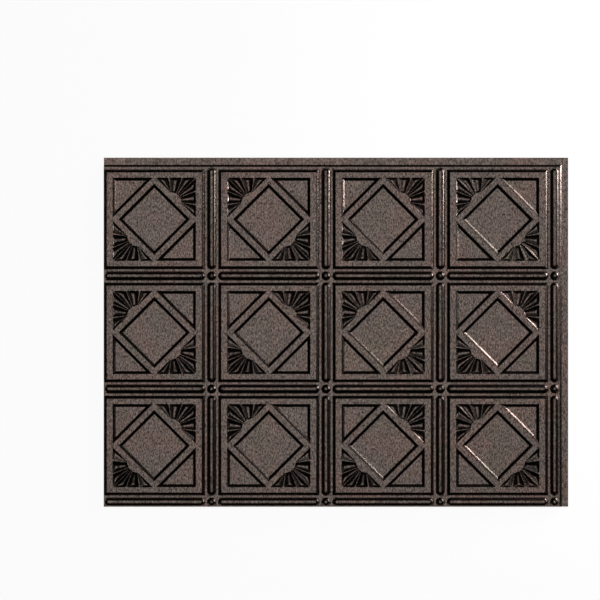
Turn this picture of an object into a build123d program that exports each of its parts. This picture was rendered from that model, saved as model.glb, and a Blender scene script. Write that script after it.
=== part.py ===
"""Vinyl backsplash panel: one thin sheet, drawn over a form with a pressed-tin relief.

The panel lies on its back. X runs along its length, Y across it and Z out of its face.
The origin is under the middle of the panel, on the surface that it lies on. Millimetres.
"""
import os
from math import atan2, copysign, cos, degrees, pi, radians, sin, sqrt, tan

from build123d import *

# Sheet
gauge = 0.8            # thickness, measured straight through the panel
wall_draft = 57.0      # lean of the drawn walls, in degrees from upright

# Field of tiles, which are a little longer than they are wide
columns = 4
rows = 3
tile_length = 134.5    # along X, where a tile rises from the ground
tile_width = 132.8     # the same along Y
relief_height = 2.7    # ground to tile top
recess_depth = 2.6     # tile top to the floor of its recesses
frame_width = 6.86     # flat frame round the square of recesses, where it is narrowest
band_width = 6.7       # flat band of the diamond
corner_gap = 1.75      # half the land between two corner recesses, at the middle of a side

# Fans in two opposite corners of each tile
flute_facets = 4       # flats that make up the hollow of one flute
flute_depth = 3.4      # depth of a flute at the edge of the recess
flute_curve = 1.3      # 1 makes a flute a plain vee, 2 a round hollow
flute_draft = 45.0     # lean of the walls at the ends of the flutes, in degrees from upright
flute_overrun = 1.2    # length of a flute's tool, as a share of the way from the hub to that edge
ridge_land = 0.9       # flat left on a ridge at its outer end
hub_radius = 14.5
hub_setback = 10.3     # from the edge of the band back to the centre of the hub
ridge_turns = (0.0, 13.3, 41.0, 46.8)   # ridges round the hub, in degrees from the tile's diagonal
band_overlap = 0.56    # share of a flute's width by which the last one runs on under the band

# Bead rails between the tiles
bead_width = 12.2
bead_height = 3.6
bead_sides = 8         # sides of a ball, and of the round end of two bars
bead_tiers = 3         # flats from the foot of a bead to its crest
bead_top = 72.0        # turn of the round where the flat crest starts, in degrees
rail_strip = 2.65      # ground between a tile and the bead along its side
ball_gap = 2.4         # ground between a ball and the bars round it

# Edges: trimmed plain at the left and the bottom, with a lap flange at the right and the top
edge_strip = 0.15      # ground left outside the relief at the plain edges
side_strip = 0.6       # ground between the beads and the step down to the flange
top_strip = 3.3        # ground above the top row of tiles
flange_side = 8.6
flange_top = 9.6
lap_clearance = 1.1    # room for adhesive between the flange and the next panel's edge, which lies over it

draft_slope = tan(radians(wall_draft))
flange_drop = gauge + lap_clearance
column_pitch = tile_length + 2 * rail_strip + bead_width
row_pitch = tile_width + 2 * rail_strip + bead_width
ground_length = edge_strip + columns * column_pitch - rail_strip + side_strip
ground_width = edge_strip + rows * row_pitch - rail_strip + top_strip
step_run = flange_drop * draft_slope
panel_length = ground_length + step_run + flange_side
panel_width = ground_width + step_run + flange_top

# Heights of the front face
flange_level = gauge
ground_level = flange_level + flange_drop
tile_level = ground_level + relief_height
crest_level = ground_level + bead_height

# Distances from the middle of a tile to the edges of its flat lands
recess_reach = min(tile_length, tile_width) / 2 - relief_height * draft_slope - frame_width
band_reach = (recess_reach + corner_gap) / sqrt(2)
diamond_reach = band_reach - band_width
hub_reach = band_reach - hub_setback

left = -panel_length / 2
bottom = -panel_width / 2
tile_x = [left + edge_strip + tile_length / 2 + column_pitch * i for i in range(columns)]
bead_x = [x + column_pitch / 2 for x in tile_x]
bead_y = [bottom + edge_strip + bead_width / 2 + row_pitch * j for j in range(rows)]
tile_y = [y + row_pitch / 2 for y in bead_y]


def drawn(outline, level, height, lean=wall_draft):
    """Block over an outline, or under it for a negative height, with walls that draw in from its level."""
    block = extrude(Pos(0, 0, level) * outline, height)
    walls = block.faces().filter_by(Axis.Z, reverse=True)
    return draft(walls, Plane((0, 0, level), z_dir=(0, 0, height)), lean)


def corner_outline():
    """Corner recess of a tile, between the frame and the diamond's band."""
    corner = (recess_reach, recess_reach)
    return Polygon(corner, (corner_gap, recess_reach), (recess_reach, corner_gap), align=None)


def ridges():
    """Hub end and outer end of each ridge on one leg, from the diagonal on; the last is under the band."""
    centre = hub_reach / sqrt(2)
    last = len(ridge_turns) - 1
    step = (recess_reach - corner_gap) / last
    lines = []
    for k, turn in enumerate(ridge_turns):
        angle = radians(45 + turn)
        along = step * (k + band_overlap * (k == last))
        hub = Vector(centre + hub_radius * cos(angle), centre + hub_radius * sin(angle))
        lines.append((hub, Vector(recess_reach - along, recess_reach)))
    return lines


def flute(first, second):
    """Hollow that fans out from the hub between two ridges, with a wall that leans at its hub end."""
    width = (second[1] - first[1]).length
    hub_share = (second[0] - first[0]).length / width
    land = ridge_land / width / 2
    points = []
    for k in range(flute_facets + 1):
        share = k / flute_facets
        across = land + (1 - 2 * land) * share
        fall = (1 - abs(2 * share - 1) ** flute_curve) * flute_depth
        hub = first[0] + (second[0] - first[0]) * across
        outer = first[1] + (second[1] - first[1]) * across
        start = fall * hub_share * tan(radians(flute_draft)) / (outer - hub).length
        for way in (start, flute_overrun):
            place = hub + (outer - hub) * way
            depth = fall * (hub_share + (1 - hub_share) * way)
            points.append((place.X, place.Y, tile_level - depth))
    return ConvexPolyhedron(points)


def fan():
    """Flutes of one corner, the same on each leg, cut off by the recess's walls."""
    pocket = drawn(corner_outline(), tile_level, -tile_level, flute_draft)
    lines = ridges()
    flutes = [flute(a, b) & pocket for a, b in zip(lines, lines[1:])]
    return flutes + [mirror(one, Plane((0, 0, 0), z_dir=(1, -1, 0))) for one in flutes]


def tile(fan_turn):
    """Raised tile with a sunk diamond, two fans in opposite corners and two plain sunk corners."""
    body = drawn(Rectangle(tile_length, tile_width), ground_level, relief_height)
    lozenge = Rot(0, 0, 45) * Rectangle(2 * diamond_reach, 2 * diamond_reach)
    diamond = drawn(lozenge, tile_level, -recess_depth)
    corner = drawn(corner_outline(), tile_level, -recess_depth)
    cuts = [diamond] + [Rot(0, 0, fan_turn + turn) * corner for turn in (90, 270)]
    cuts += [Rot(0, 0, fan_turn + turn) * cut for turn in (0, 180) for cut in fan()]
    return body - cuts


def bead_outline(length, width):
    """Outline of a bead at one height: a many-sided round, drawn out along X to its length."""
    half_span = (length - width) / 2
    corner_reach = width / 2 / cos(pi / bead_sides)
    turns = [(2 * k + 1) * pi / bead_sides for k in range(bead_sides)]
    corners = [(corner_reach * cos(t) + copysign(half_span, cos(t)), corner_reach * sin(t)) for t in turns]
    return Polygon(*corners, align=None)


def bead(length):
    """Half-round bead along X with rounded ends, as a few tiers that lean in more and more."""
    top_turn = radians(bead_top)
    turns = [top_turn * k / bead_tiers for k in range(bead_tiers + 1)]
    profile = [(bead_width * (1 - cos(t)) / 2, bead_height * sin(t) / sin(top_turn)) for t in turns]
    tiers = []
    for (inset, low), (next_inset, high) in zip(profile, profile[1:]):
        outline = bead_outline(length - 2 * inset, bead_width - 2 * inset)
        lean = degrees(atan2(next_inset - inset, high - low))
        tiers.append(drawn(outline, ground_level + low, high - low, lean))
    return tiers[0] + tiers[1:]


def beads():
    """Bars along the rails, with a ball where two rails cross."""
    stop = bead_width / 2 + ball_gap
    first_x = left + edge_strip
    last_y = tile_y[-1] + tile_width / 2 + top_strip - side_strip
    starts_x = [first_x] + [x + stop for x in bead_x[:-1]]
    ends_y = [y - stop for y in bead_y[1:]] + [last_y]
    placed = [Pos(x, y) * bead(bead_width) for x in bead_x for y in bead_y]
    for start, x in zip(starts_x, bead_x):
        end = x - stop
        bar = bead(end - start)
        placed += [Pos((start + end) / 2, y) * bar for y in bead_y]
    for y, end in zip(bead_y, ends_y):
        start = y + stop
        bar = Rot(0, 0, 90) * bead(end - start)
        placed += [Pos(x, (start + end) / 2) * bar for x in bead_x]
    return placed


def form():
    """Solid whose upper skin is the panel's face, running past the panel's edges."""
    over = bead_width
    corner = Pos(left - over, bottom - over)
    flange = Rectangle(panel_length + 2 * over, panel_width + 2 * over, align=Align.MIN)
    base = extrude(Pos(0, 0, flange_level) * corner * flange, -2 * crest_level)
    foot = Rectangle(over + ground_length + step_run, over + ground_width + step_run, align=Align.MIN)
    ground = drawn(corner * foot, flange_level, flange_drop)
    pair = [tile(fan_turn) for fan_turn in (0, 90)]
    tiles = [Pos(x, y) * pair[(i + j) % 2] for i, x in enumerate(tile_x) for j, y in enumerate(tile_y)]
    return base + [ground] + tiles + beads()


def panel():
    """Draw the sheet over the form, one gauge thick, and trim it to its outline."""
    face = form()
    blank = Box(panel_length, panel_width, 2 * crest_level)
    return (face & blank) - Pos(0, 0, -gauge) * face


os.makedirs("parts", exist_ok=True)
sheet = panel()
export_step(sheet, "parts/backsplash_panel.step")
print("panel", round(panel_length, 2), "x", round(panel_width, 2), "mm,", round(sheet.volume), "mm3")
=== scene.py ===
from math import acos, asin, cos, degrees, hypot, pi, radians, sin, sqrt, tan

import bmesh
import bpy
from mathutils import Matrix, Vector


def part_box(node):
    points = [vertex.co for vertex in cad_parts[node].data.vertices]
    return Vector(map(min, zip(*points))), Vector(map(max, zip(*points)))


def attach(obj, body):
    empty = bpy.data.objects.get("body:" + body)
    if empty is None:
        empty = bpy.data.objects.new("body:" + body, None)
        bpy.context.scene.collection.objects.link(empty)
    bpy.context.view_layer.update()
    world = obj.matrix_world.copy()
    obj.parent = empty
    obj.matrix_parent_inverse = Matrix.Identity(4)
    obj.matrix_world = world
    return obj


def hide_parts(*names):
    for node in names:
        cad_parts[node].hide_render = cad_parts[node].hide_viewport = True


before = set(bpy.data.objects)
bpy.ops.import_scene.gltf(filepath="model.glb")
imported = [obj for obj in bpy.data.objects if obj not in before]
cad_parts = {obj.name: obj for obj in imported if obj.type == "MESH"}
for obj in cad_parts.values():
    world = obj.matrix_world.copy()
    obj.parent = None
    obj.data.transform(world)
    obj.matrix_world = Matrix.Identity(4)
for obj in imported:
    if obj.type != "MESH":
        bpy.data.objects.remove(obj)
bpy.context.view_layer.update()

panelNode = "backsplash_panel"
mm = 0.001
touching = 0.01    # millimetres within which two places count as one
upright = 0.05     # a face that points up less than this is a trimmed edge
panelLow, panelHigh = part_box(panelNode)
print("frame loaded:", panelNode)

# Sheet and its edges, in millimetres as all the relief is
sheet = {
    "gauge": 0.8,
    "flangeDrop": 1.9,      # ground to lap flange
    "sideFlange": 8.6,
    "topFlange": 9.6,
    "edgeStrip": 0.15,      # ground outside the relief at the plain edges
    "sideStrip": 0.6,       # ground between the beads and the step down to the flange
    "wallSlope": 33.0,      # rise of the drawn walls in degrees, from corner to corner
    "browSlope": 24.0,      # the same near the top, where a wall starts gently
    "steepSlope": 42.0,     # and near the foot, where it is steepest
    "footRound": 0.2,
    "topRound": 0.6,
    "topSteps": 2,
    "wallSteps": 4,
    "footSteps": 3,
    "overlap": 0.03,        # a wall starts this far outside its corner
    "lip": 0.06,            # narrow flat beside each round, keeps the shading of the flats clean
    "creaseAngle": 20.0,
}

# Tiles, a little longer than they are wide
tile = {
    "columns": 4,
    "rows": 3,
    "length": 134.5,
    "width": 132.8,
    "rise": 2.7,
    "recess": 2.6,
    "frameWidth": 6.86,     # flat frame round the recesses, where it is narrowest
    "cornerGap": 1.75,      # half the land between two corner recesses
    "bandWidth": 6.7,
}

# Fluted fans in two corners of each tile
fan = {
    "hubRadius": 14.5,
    "hubSetback": 10.3,
    "ridgeTurns": [0.0, 13.3, 41.0],    # ridges round the hub, in degrees from the diagonal
    "depth": 3.4,
    "curve": 1.3,           # 1 makes a flute a plain vee, 2 a round hollow
    "endSlope": 45.0,       # rise of the walls at a flute's ends, in degrees
    "ridgeLand": 0.9,       # flat on a ridge at its outer end
    "bandSideShare": 0.64,  # share of a full flute that the one beside the band shows
    "bandSideWidth": 0.12,  # by which that flute is wider at the hub, as a share of its outer width
    "wallBlend": 0.7,       # softness where a flute runs into a wall
    "edgeBlend": 0.45,      # softness of a wall's upper edge
    "across": [0.0, 0.028, 0.08, 0.16, 0.28, 0.42, 0.58, 0.72, 0.84, 0.92, 0.972],
    "hubRows": [0.0, 0.4, 0.9, 1.5, 2.2],
    "legRows": [3.6, 2.8, 2.1, 1.5, 0.9, 0.4, 0.0],
    "legLip": 1.3,          # lip along the frame, which the flutes meet aslant
    "middleRows": 6,
}

# Bars and balls of the rails
bead = {
    "width": 12.2,
    "height": 3.6,
    "strip": 2.65,          # ground between a bead and the tile beside it
    "ballGap": 2.4,
    "segments": 20,
    "roundSteps": 8,
    "crest": 5.0,           # turn at which the round meets the crest, in degrees
    "footBlend": 0.06,
    "footShares": (0.3, 0.35),    # middle of the soft foot, outwards and upwards
    "firstStep": 0.6,       # by which the round's first step is shorter than the rest
    "endLoop": 1.5,         # from a bar's round end to the loop that keeps its sides straight
}

slope = radians(sheet["wallSlope"])
groundLevel = sheet["gauge"] + sheet["flangeDrop"]
columnPitch = tile["length"] + 2 * bead["strip"] + bead["width"]
rowPitch = tile["width"] + 2 * bead["strip"] + bead["width"]
stepRun = sheet["flangeDrop"] / tan(slope)

left, bottom = panelLow.x / mm, panelLow.y / mm
right, top = panelHigh.x / mm, panelHigh.y / mm
groundRight = right - sheet["sideFlange"] - stepRun
groundTop = top - sheet["topFlange"] - stepRun
tileX = [left + sheet["edgeStrip"] + tile["length"] / 2 + columnPitch * i for i in range(tile["columns"])]
beadX = [x + columnPitch / 2 for x in tileX]
beadY = [bottom + sheet["edgeStrip"] + bead["width"] / 2 + rowPitch * j for j in range(tile["rows"])]
tileY = [y + rowPitch / 2 for y in beadY]

# Reach of a tile's flat lands from its middle
recessReach = tile["width"] / 2 - tile["rise"] / tan(slope) - tile["frameWidth"]
bandReach = (recessReach + tile["cornerGap"]) / sqrt(2)
diamondReach = bandReach - tile["bandWidth"]


def wallSteps(rise):
    # flat lip, round, wall that steepens, round, flat lip: how far it starts outside, then steps in and up
    brow, steep = radians(sheet["browSlope"]), radians(sheet["steepSlope"])
    height = abs(rise) - sheet["topRound"] * (1 - cos(brow)) - sheet["footRound"] * (1 - cos(steep))
    arcs = [(sheet["topRound"], 0, brow, sheet["topSteps"]),
            (height / (cos(brow) - cos(steep)), brow, steep, sheet["wallSteps"]),
            (sheet["footRound"], steep, 0, sheet["footSteps"])]
    steps = [(sheet["lip"], 0)]
    for radius, first, last, count in arcs:
        turns = [first + (last - first) * k / count for k in range(count + 1)]
        for t, u in zip(turns, turns[1:]):
            steps.append((radius * abs(sin(u) - sin(t)), -radius * abs(cos(u) - cos(t))))
    steps.append((sheet["lip"], 0))
    if rise > 0:
        steps = [(inwards, -upwards) for inwards, upwards in steps[::-1]]
    return sheet["lip"] + sheet["overlap"], steps


def beadSteps():
    # the same for a half-round bead with a soft foot
    half, height = bead["width"] / 2, bead["height"]
    radius = (half ** 2 + height ** 2) / (2 * height)
    footTurn = asin(half / radius) if height < radius else pi - asin(half / radius)
    crest = radians(bead["crest"])
    soft = bead["footBlend"]
    outwards, upwards = bead["footShares"]
    line = [(-soft - sheet["lip"], 0), (-soft, 0), (-soft * outwards, soft * upwards)]
    for k in range(1, bead["roundSteps"] + 1):
        share = (k - bead["firstStep"]) / (bead["roundSteps"] - bead["firstStep"])
        turn = footTurn + (crest - footTurn) * share
        line.append((half - radius * sin(turn), height - radius * (1 - cos(turn))))
    return soft + sheet["lip"], [(b[0] - a[0], b[1] - a[1]) for a, b in zip(line, line[1:])]


def press(bm, face, steps):
    # draws a flat face up or down, one inset a step
    for inwards, upwards in steps:
        bmesh.ops.inset_region(bm, faces=[face], thickness=inwards, depth=upwards,
                               use_boundary=True, use_even_offset=True)


def crease(bm):
    # walls meet in crisp corners, rounds stay smooth
    for edge in bm.edges:
        if len(edge.link_faces) == 2 and edge.calc_face_angle() > radians(sheet["creaseAngle"]):
            edge.smooth = False


def quadFace(bm, reachX, reachY, level, turn=0):
    place = Matrix.Translation((0, 0, level)) @ Matrix.Rotation(radians(turn), 4, "Z")
    place = place @ Matrix.Diagonal((reachX, reachY, 1, 1))
    made = bmesh.ops.create_grid(bm, x_segments=1, y_segments=1, size=1, matrix=place)
    return made["verts"][0].link_faces[0]


def cornerFace(bm, margin, turn):
    # plain corner recess between the frame and the band
    reach = recessReach + margin
    tip = (bandReach - margin) * sqrt(2) - reach
    corners = [(reach, reach), (tip, reach), (reach, tip)]
    verts = [bm.verts.new((x, y, tile["rise"])) for x, y in corners]
    bmesh.ops.rotate(bm, verts=verts, matrix=Matrix.Rotation(radians(turn), 3, "Z"))
    return bm.faces.new(verts)


def softLeast(a, b, blend):
    near = max(blend - abs(a - b), 0) / blend
    return max(min(a, b) - near * near * blend / 4, 0)


def wallFall(distance):
    # depth of a wall at a distance inside its upper edge
    soft = fan["edgeBlend"]
    return hypot(max(distance, 0) * tan(radians(fan["endSlope"])), soft) - soft


def blendList(values, at):
    k = min(int(at), len(values) - 2)
    return values[k] + (values[k + 1] - values[k]) * (at - k)


def fanLand(at):
    # ends of a line from the hub to the frame; at counts flutes from the diagonal, to both sides
    flutes = len(fan["ridgeTurns"])
    turns = fan["ridgeTurns"] + [degrees(acos(fan["hubSetback"] / fan["hubRadius"]))]
    centre = (bandReach - fan["hubSetback"]) / sqrt(2)
    turn = radians(45 + blendList(turns, abs(at)))
    hub = Vector((centre + fan["hubRadius"] * cos(turn), centre + fan["hubRadius"] * sin(turn)))
    along = (recessReach - tile["cornerGap"]) * abs(at) / flutes
    leg = Vector((recessReach - along, recessReach))
    if at < 0:
        return hub.yx, leg.yx
    return hub, leg


def fanFall(at, place, share):
    # depth under the tile's top
    flutes = len(fan["ridgeTurns"])
    flute = min(int(abs(at)), flutes - 1)
    within = abs(at) - flute
    near = (fanLand(flute + 1)[0] - fanLand(flute)[0]).length
    far = (fanLand(flute + 1)[1] - fanLand(flute)[1]).length
    land = fan["ridgeLand"] / far / 2
    if flute == flutes - 1:
        within *= fan["bandSideShare"]
        near += far * fan["bandSideWidth"]
    within = min(max((within - land) / (1 - 2 * land), 0), 1)
    hollow = 1 - abs(2 * within - 1) ** fan["curve"]
    hollow *= fan["depth"] * (near + (far - near) * share) / far
    centre = (bandReach - fan["hubSetback"]) / sqrt(2)
    toLeg = recessReach - max(place)
    toBand = (place.x + place.y) / sqrt(2) - bandReach
    toHub = hypot(place.x - centre, place.y - centre) - fan["hubRadius"]
    return softLeast(hollow, wallFall(min(toLeg, toBand, toHub)), fan["wallBlend"])


def fanPatch(bm, turn):
    # a grid spread from the hub to the frame, then pressed into flutes
    flutes = len(fan["ridgeTurns"])
    ways = [k + s for k in range(flutes) for s in fan["across"]] + [flutes]
    columns = [-w for w in ways[:0:-1]] + ways
    columns = [columns[0]] + columns + [columns[-1]]
    rows = len(fan["hubRows"]) + fan["middleRows"] + len(fan["legRows"]) + 1
    made = bmesh.ops.create_grid(bm, x_segments=len(columns) - 1, y_segments=rows, size=1)
    for vert in made["verts"]:
        column = round((vert.co.x + 1) / 2 * (len(columns) - 1))
        row = round((vert.co.y + 1) / 2 * rows)
        hub, leg = fanLand(columns[column])
        length = (leg - hub).length
        hubDepths = [-sheet["lip"]] + fan["hubRows"]
        legDepths = [length - d for d in fan["legRows"]] + [length + sheet["lip"] * fan["legLip"]]
        span = legDepths[0] - hubDepths[-1]
        middle = [hubDepths[-1] + span * k / (fan["middleRows"] + 1) for k in range(1, fan["middleRows"] + 1)]
        distance = (hubDepths + middle + legDepths)[row]
        place = hub + (leg - hub) * (distance / length)
        share = min(max(distance / length, 0), 1)
        fall = fanFall(columns[column], place, share)
        if column in (0, len(columns) - 1):
            aside = Vector((-1, -1)).normalized() * sheet["lip"]
            place = place + aside
            fall = 0
        vert.co = (place.x, place.y, tile["rise"] - fall)
    bmesh.ops.rotate(bm, verts=made["verts"], matrix=Matrix.Rotation(radians(turn), 3, "Z"))


def fillFlat(bm, level):
    # closes the flat land between the loops that lie at one level
    rims = [e for e in bm.edges
            if len(e.link_faces) < 2 and all(abs(v.co.z - level) < touching for v in e.verts)]
    bmesh.ops.triangle_fill(bm, edges=rims, use_beauty=True, use_dissolve=False, normal=(0, 0, 1))


def makeTile(fanTurn):
    bm = bmesh.new()
    start, steps = wallSteps(tile["rise"])
    land = quadFace(bm, tile["length"] / 2 + start, tile["width"] / 2 + start, 0)
    press(bm, land, steps)
    bmesh.ops.delete(bm, geom=[land], context="FACES_ONLY")
    start, steps = wallSteps(-tile["recess"])
    press(bm, quadFace(bm, diamondReach + start, diamondReach + start, tile["rise"], 45), steps)
    for turn in (90, 270):
        press(bm, cornerFace(bm, start, fanTurn + turn), steps)
    crease(bm)
    for turn in (0, 180):
        fanPatch(bm, fanTurn + turn)
    fillFlat(bm, tile["rise"])
    made = bpy.data.meshes.new("tileForm")
    bm.to_mesh(made)
    bm.free()
    return made


def addTile(bm, form, x, y):
    old = len(bm.verts)
    bm.from_mesh(form)
    bm.verts.ensure_lookup_table()
    bmesh.ops.translate(bm, verts=bm.verts[old:], vec=(x, y, 0))


def addBead(bm, start, end):
    # ball, or bar with round ends, between two points along X or Y
    margin, steps = beadSteps()
    along = Vector(end) - Vector(start)
    halfSpan = (along.length - bead["width"]) / 2
    halfStep = pi / bead["segments"]
    radius = (bead["width"] / 2 + margin) / cos(halfStep)
    made = bmesh.ops.create_circle(bm, cap_ends=True, segments=bead["segments"], radius=radius,
                                   matrix=Matrix.Rotation(halfStep, 4, "Z"))
    verts = made["verts"]
    face = verts[0].link_faces[0]
    if halfSpan > touching:
        sides = [e for e in face.edges if e.verts[0].co.x * e.verts[1].co.x < 0]
        for sign in (1, -1):
            ends = [v for v in verts if v.co.x * sign > 0]
            bmesh.ops.translate(bm, verts=ends, vec=(halfSpan * sign, 0, 0))
        for edge in sides:
            for vert in list(edge.verts):
                bmesh.utils.edge_split(edge, vert, bead["endLoop"] / edge.calc_length())
    place = (Vector(start) + Vector(end)) / 2
    turn = Matrix.Rotation(Vector((1, 0)).angle_signed(along) * -1, 3, "Z")
    bmesh.ops.rotate(bm, verts=face.verts[:], matrix=turn)
    bmesh.ops.translate(bm, verts=face.verts[:], vec=(place.x, place.y, 0))
    press(bm, face, steps)


def addRails(bm):
    stop = bead["width"] / 2 + bead["ballGap"]
    half = bead["width"] / 2
    startsX = [left + sheet["edgeStrip"]] + [x + stop for x in beadX[:-1]]
    endsY = [y - stop for y in beadY[1:]] + [groundTop - sheet["sideStrip"]]
    for x, startX in zip(beadX, startsX):
        for y, endY in zip(beadY, endsY):
            addBead(bm, (x - half, y), (x + half, y))
            addBead(bm, (startX, y), (x - stop, y))
            addBead(bm, (x, y + stop), (x, endY))


def addGround(bm):
    # ground between the relief, then the step down to the lap flange at the right and the top
    start, steps = wallSteps(-sheet["flangeDrop"])
    x, y = groundRight - start, groundTop - start
    corners = [bm.verts.new(p) for p in ((left, bottom, 0), (x, bottom, 0), (x, y, 0), (left, y, 0))]
    border = [bm.edges.new((a, b)) for a, b in zip(corners, corners[1:] + corners[:1])]
    fillFlat(bm, 0)
    rim = border[1:3]
    steps.append((right - x - sum(outwards for outwards, upwards in steps), 0))
    for outwards, upwards in steps:
        made = bmesh.ops.extrude_edge_only(bm, edges=rim)["geom"]
        moved = [g for g in made if isinstance(g, bmesh.types.BMVert)]
        rim = [g for g in made if isinstance(g, bmesh.types.BMEdge)]
        toSide = [v for v in moved if v.co.x > x - touching]
        toTop = [v for v in moved if v.co.y > y - touching]
        bmesh.ops.translate(bm, verts=toSide, vec=(outwards, 0, 0))
        bmesh.ops.translate(bm, verts=toTop, vec=(0, outwards, 0))
        bmesh.ops.translate(bm, verts=moved, vec=(0, 0, upwards))
    for vert in moved:
        if vert.co.y > y:
            vert.co.y = top
    for edge in bm.edges:
        if all(v.co.x > x - touching and v.co.y > y - touching for v in edge.verts):
            edge.smooth = False    # the mitre where the two steps meet


def giveGauge(bm):
    # the back follows the face, one gauge down, and the trimmed edges close it
    made = bmesh.ops.extrude_face_region(bm, geom=bm.faces[:], use_keep_orig=True)["geom"]
    back = [g for g in made if isinstance(g, bmesh.types.BMVert)]
    bmesh.ops.translate(bm, verts=back, vec=(0, 0, -sheet["gauge"]))
    bmesh.ops.recalc_face_normals(bm, faces=bm.faces[:])
    for face in bm.faces:
        face.smooth = True
        face.material_index = 0 if face.normal.z > upright else 1
        if abs(face.normal.z) < upright:
            for edge in face.edges:
                edge.smooth = False


def makePanel():
    forms = [makeTile(turn) for turn in (0, 90)]    # the fans change corners from tile to tile
    print("tiles pressed:", len(forms[0].polygons), "faces each")
    bm = bmesh.new()
    for i, x in enumerate(tileX):
        for j, y in enumerate(tileY):
            addTile(bm, forms[(i + j) % 2], x, y)
    for form in forms:
        bpy.data.meshes.remove(form)
    addRails(bm)
    addGround(bm)
    print("face laid out:", len(bm.faces), "faces")
    giveGauge(bm)
    bmesh.ops.translate(bm, verts=bm.verts[:], vec=(0, 0, groundLevel))
    bmesh.ops.scale(bm, verts=bm.verts[:], vec=(mm, mm, mm))
    made = bpy.data.meshes.new("formedSheet")
    bm.to_mesh(made)
    loose = sum(1 for e in bm.edges if len(e.link_faces) != 2)
    triangles = sum(len(f.verts) - 2 for f in bm.faces)
    bm.free()
    print("sheet closed:", triangles, "triangles,", loose, "open edges")
    return bpy.data.objects.new("formedSheet", made)


class Wire:
    # a node's output that takes part in sums
    def __init__(self, finish, socket):
        self.finish = finish
        self.socket = socket

    def reckon(self, operation, first, second):
        return self.finish.node("ShaderNodeMath", {"operation": operation}, {0: first, 1: second})

    def __add__(self, other):
        return self.reckon("ADD", self, other)

    def __radd__(self, other):
        return self.reckon("ADD", other, self)

    def __mul__(self, other):
        return self.reckon("MULTIPLY", self, other)

    def __rmul__(self, other):
        return self.reckon("MULTIPLY", other, self)


class Finish:
    # a node tree that is filled one node at a time
    def __init__(self, tree):
        self.tree = tree
        self.tree.nodes.clear()

    def node(self, kind, settings=None, sockets=None, output=0):
        made = self.tree.nodes.new(kind)
        for name, value in (settings or {}).items():
            setattr(made, name, value)
        for name, value in (sockets or {}).items():
            if isinstance(value, Wire):
                self.tree.links.new(value.socket, made.inputs[name])
            else:
                made.inputs[name].default_value = value
        return Wire(self, made.outputs[output]) if made.outputs else made

    def noise(self, point, scale, detail, spread):
        stretched = self.node("ShaderNodeMapping", None, {"Vector": point, "Scale": scale})
        return self.node("ShaderNodeTexNoise", None, {
            "Vector": stretched, "Scale": 1.0, "Detail": detail, "Roughness": spread})

    def span(self, value, low, high, toLow=0.0, toHigh=1.0):
        return self.node("ShaderNodeMapRange", {"interpolation_type": "SMOOTHSTEP"}, {
            "Value": value, "From Min": low, "From Max": high, "To Min": toLow, "To Max": toHigh})

    def mix(self, share, first, second, blend="MIX"):
        return self.node("ShaderNodeMix", {"data_type": "RGBA", "blend_type": blend},
                         {0: share, 6: first, 7: second}, output=2)


def newFinish(name):
    material = bpy.data.materials.new(name)
    material.use_nodes = True
    return material, Finish(material.node_tree)


# Pewter film on the face
film = {
    "grey": (0.133, 0.106, 0.094, 1),
    "brown": (0.148, 0.106, 0.092, 1),
    "moss": (0.127, 0.107, 0.087, 1),
    "metallic": 1.0,
    "patches": ((14, 17, 14), 3.0, 0.55),       # scale, detail and roughness of each noise
    "clouds": ((26, 22, 26), 2.0, 0.5),
    "streaks": ((620, 260, 400), 2.0, 0.6),
    "specks": ((820, 700, 820), 2.0, 0.7),
    "wear": ((90, 60, 90), 3.0, 0.6),
    "dents": ((160, 160, 160), 1.0, 0.5),
    "brownSpan": (0.42, 0.62),
    "mossSpan": (0.5, 0.68),
    "mossShare": 0.7,
    "grainSpan": (0.33, 0.67, 0.16, 1.88),      # from dark and light noise to dark and light grain
    "bumpStrength": 0.35,
    "bumpDepth": 0.00012,
}


def pewterFilm():
    material, finish = newFinish("pewterFilm")
    point = finish.node("ShaderNodeTexCoord", output=3)
    patches = finish.noise(point, *film["patches"])
    clouds = finish.noise(point, *film["clouds"])
    streaks = finish.noise(point, *film["streaks"])
    specks = finish.noise(point, *film["specks"])
    wear = finish.noise(point, *film["wear"])
    dents = finish.noise(point, *film["dents"])
    tint = finish.mix(finish.span(patches, *film["brownSpan"]), film["grey"], film["brown"])
    tint = finish.mix(film["mossShare"] * finish.span(clouds, *film["mossSpan"]), tint, film["moss"])
    grain = finish.span(0.55 * streaks + 0.45 * specks, *film["grainSpan"]) * (0.80 + 0.40 * wear)
    shade = finish.node("ShaderNodeCombineColor", None, {0: grain, 1: grain, 2: grain})
    tint = finish.mix(1.0, tint, shade, "MULTIPLY")
    roughness = 0.17 + 0.10 * specks + 0.06 * wear
    bump = finish.node("ShaderNodeBump", None, {
        "Strength": film["bumpStrength"], "Distance": film["bumpDepth"],
        "Height": 0.6 * specks + 0.5 * streaks + 1.2 * dents})
    shader = finish.node("ShaderNodeBsdfPrincipled", None, {
        "Base Color": tint, "Roughness": roughness, "Metallic": film["metallic"], "Normal": bump})
    finish.node("ShaderNodeOutputMaterial", None, {"Surface": shader})
    return material


# Bare vinyl on the back and the trimmed edges
vinyl = {
    "dark": (0.030, 0.029, 0.028, 1),
    "light": (0.048, 0.046, 0.044, 1),
    "clouds": ((40, 40, 40), 3.0, 0.6),
    "grain": ((900, 900, 900), 2.0, 0.6),
    "lightSpan": (0.45, 0.85),
    "bumpStrength": 0.3,
    "bumpDepth": 0.0001,
}


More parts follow.
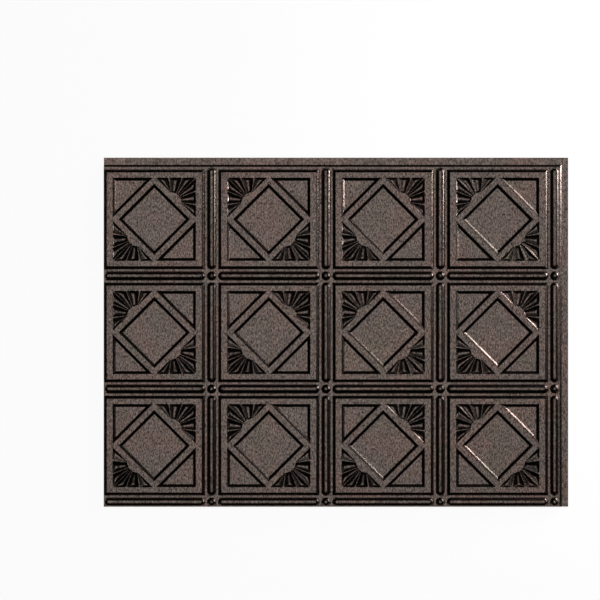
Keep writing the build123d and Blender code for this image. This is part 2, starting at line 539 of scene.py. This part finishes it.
def bareVinyl():
    material, finish = newFinish("bareVinyl")
    point = finish.node("ShaderNodeTexCoord", output=3)
    clouds = finish.noise(point, *vinyl["clouds"])
    grain = finish.noise(point, *vinyl["grain"])
    tint = finish.mix(finish.span(clouds + 0.3 * grain, *vinyl["lightSpan"]), vinyl["dark"], vinyl["light"])
    bump = finish.node("ShaderNodeBump", None, {
        "Strength": vinyl["bumpStrength"], "Distance": vinyl["bumpDepth"], "Height": grain})
    shader = finish.node("ShaderNodeBsdfPrincipled", None, {
        "Base Color": tint, "Roughness": 0.46 + 0.16 * grain, "Normal": bump})
    finish.node("ShaderNodeOutputMaterial", None, {"Surface": shader})
    return material


# Table, light and camera
studio = {
    "floorSize": 60.0,
    "floorColour": (0.35, 0.35, 0.35, 1),
    "floorGlow": 0.90,                  # paleness of the table as the camera and gloss see it
    "skyAxis": (-0.01, 0.11, 1.0),      # middle of the bright ceiling
    "skyBright": (1.0, 1.0, 1.0, 1),
    "skyDark": (0.003, 0.003, 0.003, 1),
    "skySpan": (0.893, 0.956),          # from dark walls to bright ceiling, as cosines
    "boxAim": (0.0, 0.05, 0.05),
    "cameraOffset": (-47.9, 42.75),     # camera's foot from the panel's middle, in millimetres
    "cameraHeight": 2.2,
    "frameWidth": 798.5,                # width of the picture at the panel, in millimetres
    "sensor": 36.0,
}

# Soft boxes off the upper right: three low ones for the glints, a tall dim one for the flanks
boxes = {
    "lowBox": {"place": (0.80, 0.365, 0.13), "size": (0.23, 0.18), "power": 2.4},
    "sideBox": {"place": (3.0, 0.62, 0.70), "size": (0.60, 0.60), "power": 9.0},
    "farBox": {"place": (0.78, 0.64, 0.15), "size": (0.24, 0.20), "power": 0.8},
    "tallBox": {"place": (0.64, 0.28, 0.36), "size": (0.54, 0.56), "power": 0.24},
}


def makeFloor():
    bm = bmesh.new()
    bmesh.ops.create_grid(bm, x_segments=1, y_segments=1, size=studio["floorSize"] / 2)
    mesh = bpy.data.meshes.new("paleFloor")
    bm.to_mesh(mesh)
    bm.free()
    floor = bpy.data.objects.new("paleFloor", mesh)
    material, finish = newFinish("paleFloor")
    seen = finish.node("ShaderNodeLightPath", output="Is Camera Ray")
    gloss = finish.node("ShaderNodeLightPath", output="Is Glossy Ray")
    clear = finish.node("ShaderNodeLightPath", output="Is Transmission Ray")
    table = finish.node("ShaderNodeBsdfDiffuse", None, {"Color": studio["floorColour"]})
    glow = finish.node("ShaderNodeEmission", None, {"Strength": studio["floorGlow"] * (seen + gloss + clear)})
    both = finish.node("ShaderNodeAddShader", None, {0: table, 1: glow})
    finish.node("ShaderNodeOutputMaterial", None, {"Surface": both})
    mesh.materials.append(material)
    bpy.context.scene.collection.objects.link(floor)


def makeLight():
    world = bpy.data.worlds.new("studio")
    bpy.context.scene.world = world
    world.use_nodes = True
    finish = Finish(world.node_tree)
    way = finish.node("ShaderNodeTexCoord", output="Generated")
    axis = tuple(Vector(studio["skyAxis"]).normalized())
    lean = finish.node("ShaderNodeVectorMath", {"operation": "DOT_PRODUCT"}, {0: way, 1: axis}, "Value")
    sky = finish.mix(finish.span(lean, *studio["skySpan"]), studio["skyDark"], studio["skyBright"])
    light = finish.node("ShaderNodeBackground", None, {"Color": sky, "Strength": 1.0})
    finish.node("ShaderNodeOutputWorld", None, {"Surface": light})
    for name, box in boxes.items():
        lamp = bpy.data.lights.new(name, "AREA")
        lamp.shape = "RECTANGLE"
        lamp.size, lamp.size_y = box["size"]
        lamp.energy = box["power"]
        placed = bpy.data.objects.new(name, lamp)
        placed.location = box["place"]
        aim = Vector(studio["boxAim"]) - placed.location
        placed.rotation_euler = aim.to_track_quat("-Z", "Y").to_euler()
        bpy.context.scene.collection.objects.link(placed)


def makeCamera():
    lens = bpy.data.cameras.new("camera")
    lens.sensor_width = studio["sensor"]
    lens.lens = studio["sensor"] * studio["cameraHeight"] / (studio["frameWidth"] * mm)
    camera = bpy.data.objects.new("camera", lens)
    aside, up = studio["cameraOffset"]
    camera.location = (aside * mm, up * mm, studio["cameraHeight"])
    bpy.context.scene.collection.objects.link(camera)
    bpy.context.scene.camera = camera


makeFloor()
makeLight()
makeCamera()
print("studio ready")

panel = makePanel()
bpy.context.scene.collection.objects.link(panel)
panel.data.materials.append(pewterFilm())
panel.data.materials.append(bareVinyl())
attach(panel, "root")
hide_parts(panelNode)
print("panel finished")

bpy.context.scene.view_settings.view_transform = "Standard"
